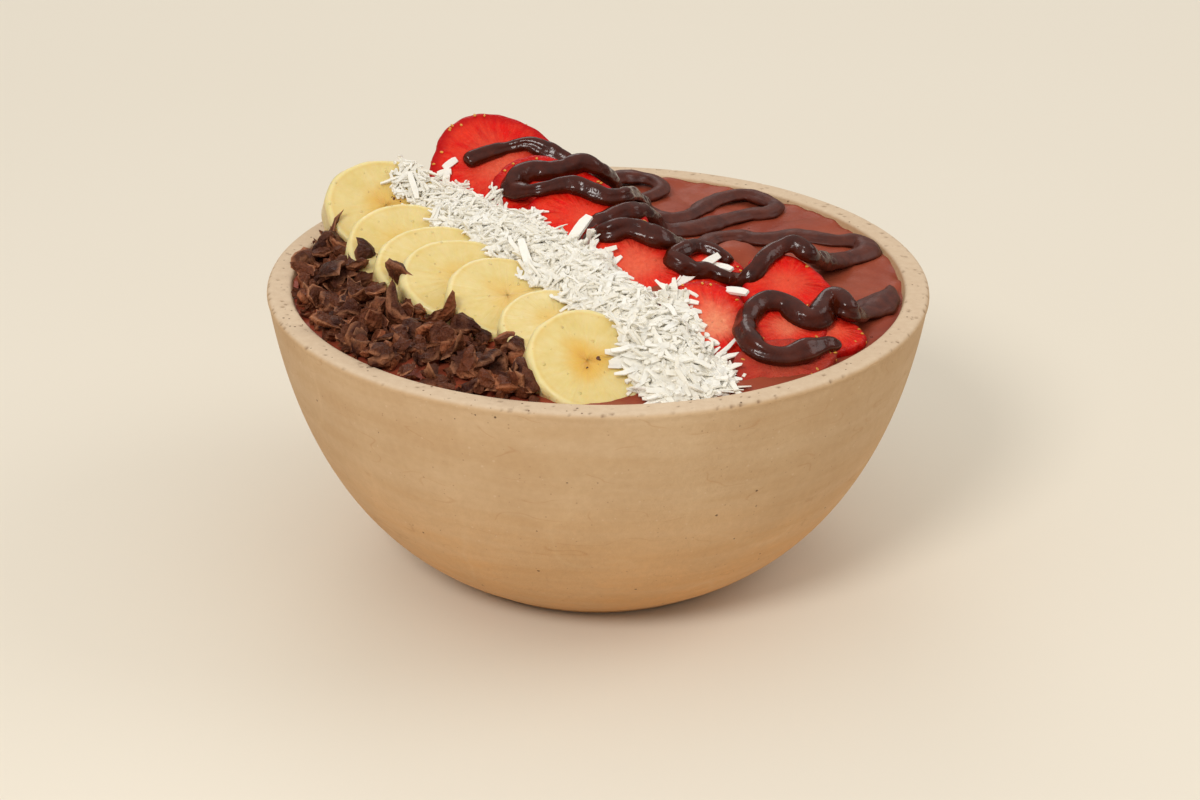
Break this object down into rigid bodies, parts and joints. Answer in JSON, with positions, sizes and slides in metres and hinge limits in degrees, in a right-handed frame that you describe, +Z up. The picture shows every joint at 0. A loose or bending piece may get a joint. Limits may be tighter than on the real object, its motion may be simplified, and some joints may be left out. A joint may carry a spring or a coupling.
{
  "type": "acai bowl",
  "caption": "Round cast bowl filled with thick acai blend and topped with banana slices, strawberry slices, coconut shreds, cacao nibs and chocolate sauce",
  "frame": {"origin": "on the table under the middle of the bowl", "axes": "+Z up, +X to the picture's right, -Y toward the picture's viewer"},
  "size_m": [0.17, 0.17, 0.0991],
  "materials": {
    "bowl": "matt cast stone with pits and specks",
    "acai": "soft matt, slightly wet",
    "banana": "moist flesh, satin",
    "strawberry": "wet fruit with dark glossy sauce",
    "coconut": "dry matt shreds",
    "nibs": "dry matt shards"
  },
  "bodies": {
    "root": {"bowl": "bowl", "acai": "acai", "banana_1": "banana", "banana_2": "banana", "banana_3": "banana", "banana_4": "banana", "banana_5": "banana", "banana_6": "banana", "banana_7": "banana", "strawberry_1": "strawberry", "strawberry_2": "strawberry", "strawberry_3": "strawberry", "strawberry_4": "strawberry", "strawberry_5": "strawberry", "strawberry_6": "strawberry", "strawberry_7": "strawberry", "strawberry_8": "strawberry", "strawberry_9": "strawberry", "strawberry_10": "strawberry", "coconut": "coconut", "nibs": "nibs"}
  },
  "joints": []
}
